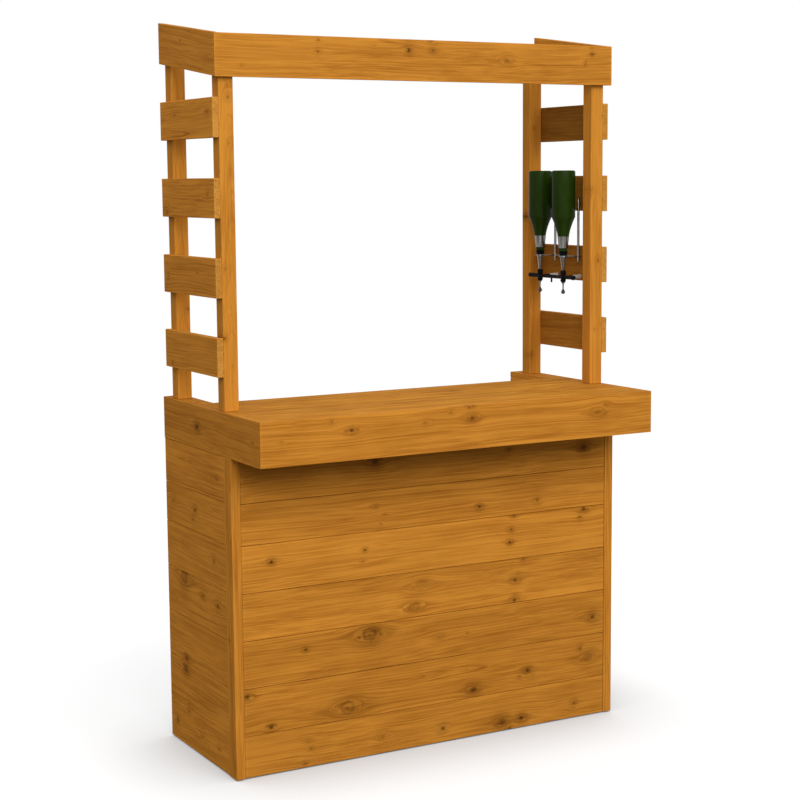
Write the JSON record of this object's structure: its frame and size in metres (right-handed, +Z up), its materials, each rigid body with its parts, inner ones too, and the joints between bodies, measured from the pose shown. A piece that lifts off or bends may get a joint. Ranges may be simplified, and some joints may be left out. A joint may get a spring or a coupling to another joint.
{
  "type": "outdoor garden bar",
  "caption": "Stained pine garden bar: boarded base open at the back with a shelf, overhanging counter, slatted side frames, sloping top boards and a wall optic with upturned bottles.",
  "frame": {"origin": "on the ground, in the middle of the bar's plan, counter overhang included", "axes": "+Z up, -Y towards the customers, +Y towards the server, +X to the right of a customer who faces the bar"},
  "size_m": [1.3206, 0.685, 2.1438],
  "materials": {
    "boarding": "sawn and planed pine boards with a honey brown stain, satin",
    "framing": "planed pine posts and rails with a honey brown stain, satin",
    "bottle_glass": "dark green bottle glass, glossy",
    "optic_metal": "bright plated steel",
    "optic_plastic": "black moulded plastic, semi-gloss"
  },
  "bodies": {
    "root": {"base_stud_front_left": "framing", "base_stud_front_right": "framing", "base_stud_back_left": "framing", "base_stud_back_right": "framing", "front_sill": "framing", "back_sill": "framing", "front_top_rail": "framing", "shelf_rail_front": "framing", "shelf_rail_back": "framing", "shelf": "framing", "front_panel": "boarding", "left_side_panel": "boarding", "right_side_panel": "boarding", "corner_trim_left": "boarding", "corner_trim_right": "boarding", "counter_side_joist_left": "framing", "counter_side_joist_right": "framing", "counter_joist_left": "framing", "counter_joist_right": "framing", "counter_rear_rail": "framing", "counter_deck": "boarding", "counter_arm_left": "boarding", "counter_arm_right": "boarding", "counter_fascia_front": "boarding", "counter_fascia_left": "boarding", "counter_fascia_right": "boarding", "post_front_left": "framing", "post_front_right": "framing", "post_rear_left": "framing", "post_rear_right": "framing", "slat_left_1": "boarding", "slat_left_2": "boarding", "slat_left_3": "boarding", "slat_left_4": "boarding", "slat_right_1": "boarding", "slat_right_2": "boarding", "slat_right_3": "boarding", "slat_right_4": "boarding", "top_board_left": "boarding", "top_board_right": "boarding", "top_board_front": "boarding", "optic_rack": "optic_metal", "optic_bar": "optic_plastic", "bottle_front": "bottle_glass", "bottle_rear": "bottle_glass", "measure_front": "optic_metal", "measure_rear": "optic_metal"}
  },
  "joints": []
}
